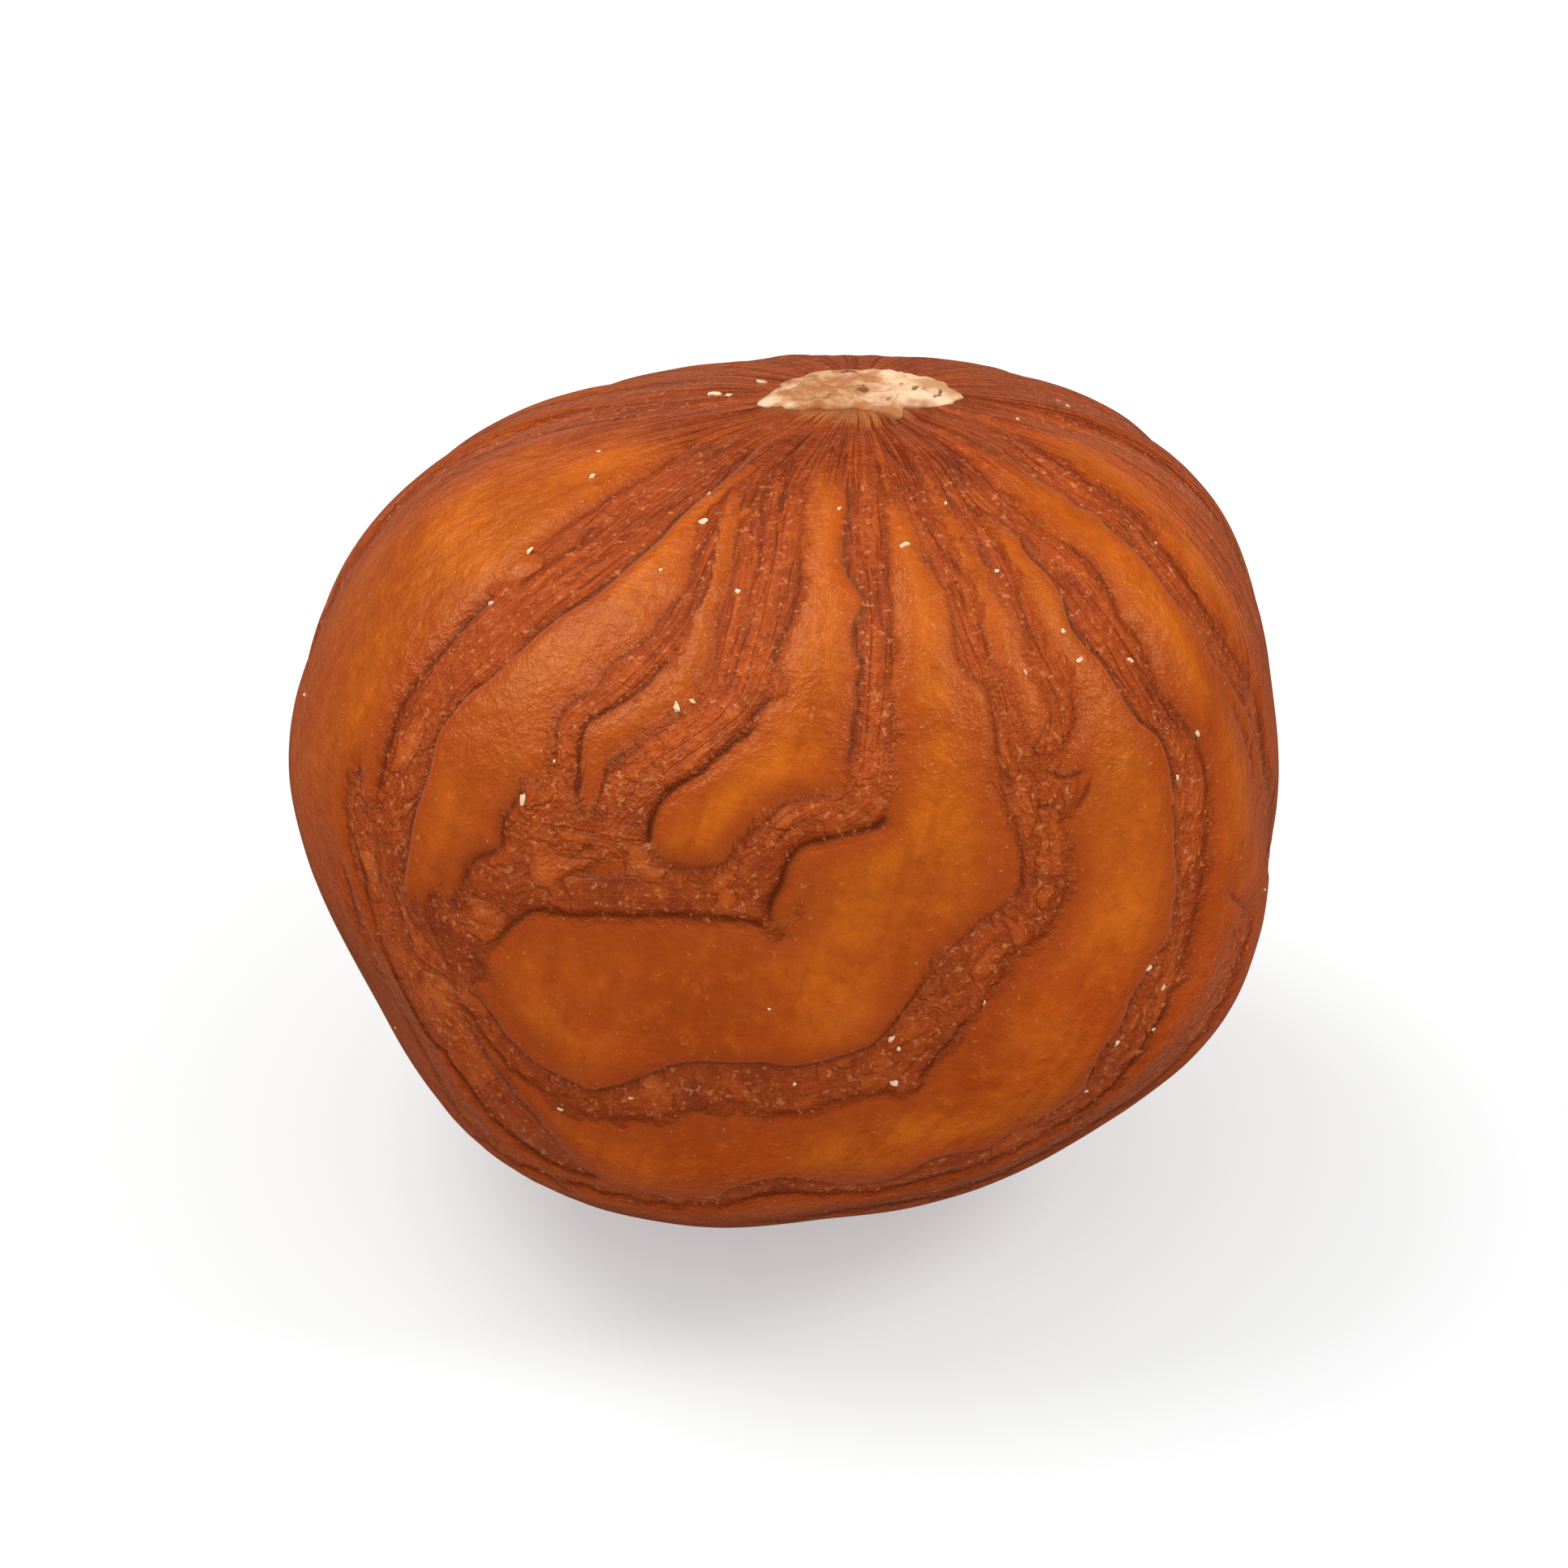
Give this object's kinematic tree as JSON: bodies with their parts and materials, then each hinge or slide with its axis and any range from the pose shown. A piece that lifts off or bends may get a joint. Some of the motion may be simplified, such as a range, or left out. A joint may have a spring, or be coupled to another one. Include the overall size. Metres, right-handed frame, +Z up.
{
  "type": "hazelnut kernel",
  "caption": "Whole shelled hazelnut kernel in its brown skin, with plump ridges between sunken vein bands and a pale scar at the tip.",
  "frame": {"origin": "bottom middle of the box, on the small flat spot that the kernel rests on", "axes": "+Z up through the kernel, +X to the right and along its widest way, -Y towards the side drawn from the picture"},
  "size_m": [0.0158, 0.0146, 0.0134],
  "materials": {
    "skin": "satin, wrinkled brown seed skin",
    "scar": "dry, corky, pale attachment scar"
  },
  "bodies": {
    "root": {"kernel": "skin"}
  },
  "joints": []
}
